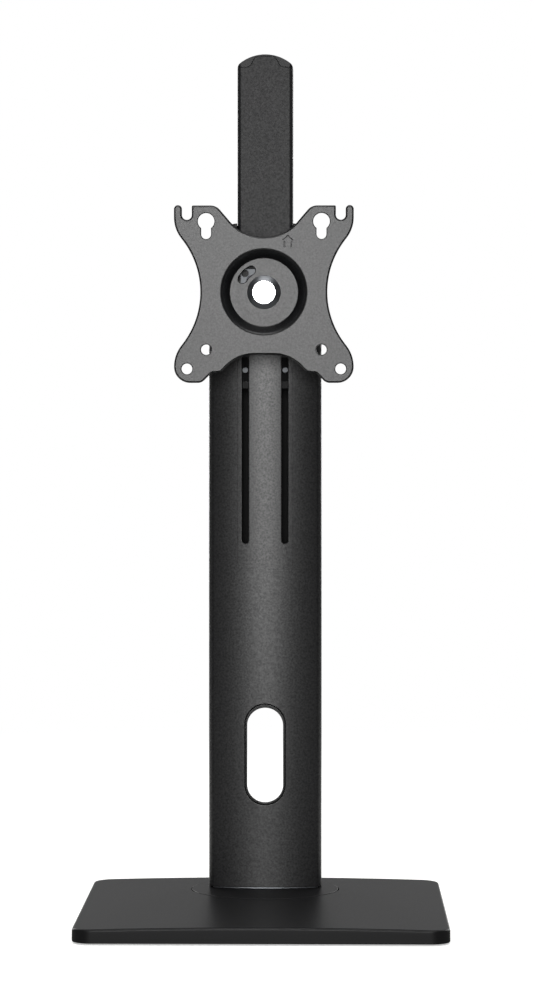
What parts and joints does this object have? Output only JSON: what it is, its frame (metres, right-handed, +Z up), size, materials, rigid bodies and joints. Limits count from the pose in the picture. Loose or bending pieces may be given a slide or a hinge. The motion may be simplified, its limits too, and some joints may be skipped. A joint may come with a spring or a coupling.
{
  "type": "desk monitor stand",
  "caption": "Free-standing monitor stand: low base, swivelling column with guide slots, sprung sliding arm, tilting and turning screen plate.",
  "frame": {"origin": "on the desk, under the middle of the base", "axes": "+Z up, -Y to the front (the side that faces the user), +X to the user's right"},
  "size_m": [0.235, 0.224, 0.5675],
  "materials": {
    "base_plastic": "moulded, satin black",
    "column_coat": "powder coated, satin black",
    "cover_plastic": "moulded, satin black",
    "liner_plastic": "moulded, black",
    "arm_coat": "powder coated, dark grey black",
    "plate_coat": "powder coated, graphite grey",
    "plain_steel": "plain steel",
    "zinc_plate": "bright zinc plated",
    "screw_steel": "blackened steel screws",
    "cast_alloy": "die cast",
    "acetal": "natural white acetal",
    "glide_plastic": "black acetal",
    "washer_plastic": "black nylon",
    "rubber": "black rubber"
  },
  "bodies": {
    "base": {"base_cover": "base_plastic", "ballast_plate": "plain_steel", "rubber_feet": "rubber", "base_screws": "screw_steel", "swivel_washer": "acetal", "swivel_stop_pin": "screw_steel"},
    "column": {"turntable_plate": "plain_steel", "turntable_cap": "base_plastic", "retainer_washer": "acetal", "swivel_retainer": "plain_steel", "retainer_screws": "screw_steel", "foot_plate": "plain_steel", "column_screws": "screw_steel", "column_shell": "column_coat", "rear_cover": "cover_plastic", "cover_screws": "screw_steel", "cable_liner": "liner_plastic", "column_cap": "cover_plastic", "gas_cylinder": "arm_coat", "spring_bracket": "plain_steel", "spring_bracket_screws": "screw_steel", "spring_pin": "zinc_plate"},
    "arm": {"arm_channel": "arm_coat", "arm_cap": "cover_plastic", "arm_glides": "glide_plastic", "glide_screws": "zinc_plate", "spring_rod": "zinc_plate", "rod_pin": "zinc_plate", "head_bracket": "arm_coat", "head_screws": "screw_steel", "tilt_bolt": "screw_steel", "tilt_nut": "screw_steel", "tilt_spring_washers": "plain_steel"},
    "head": {"tilt_block": "cast_alloy", "tilt_washers": "acetal", "pivot_flange": "zinc_plate", "flange_screws": "screw_steel", "friction_washer": "acetal", "pivot_washer": "washer_plastic"},
    "plate": {"vesa_plate": "plate_coat"}
  },
  "joints": [
    {"name": "base_swivel", "type": "hinge", "parent": "base", "child": "column", "pos_m": [0, 0.059, 0], "axis": [0, 0, 1], "range_deg": [-45, 45]},
    {"name": "lift", "type": "slide", "parent": "column", "child": "arm", "axis": [0, 0, 1], "range_m": [-0.15, 0], "stiffness_N_per_m": 80, "springref_m": 0.5},
    {"name": "tilt", "type": "hinge", "parent": "arm", "child": "head", "pos_m": [0, 0.0325, 0.4075], "axis": [-1, 0, 0], "range_deg": [-5, 20]},
    {"name": "plate_turn", "type": "hinge", "parent": "head", "child": "plate", "pos_m": [0, 0.005, 0.4075], "axis": [0, -1, 0], "range_deg": [-90, 90]}
  ]
}
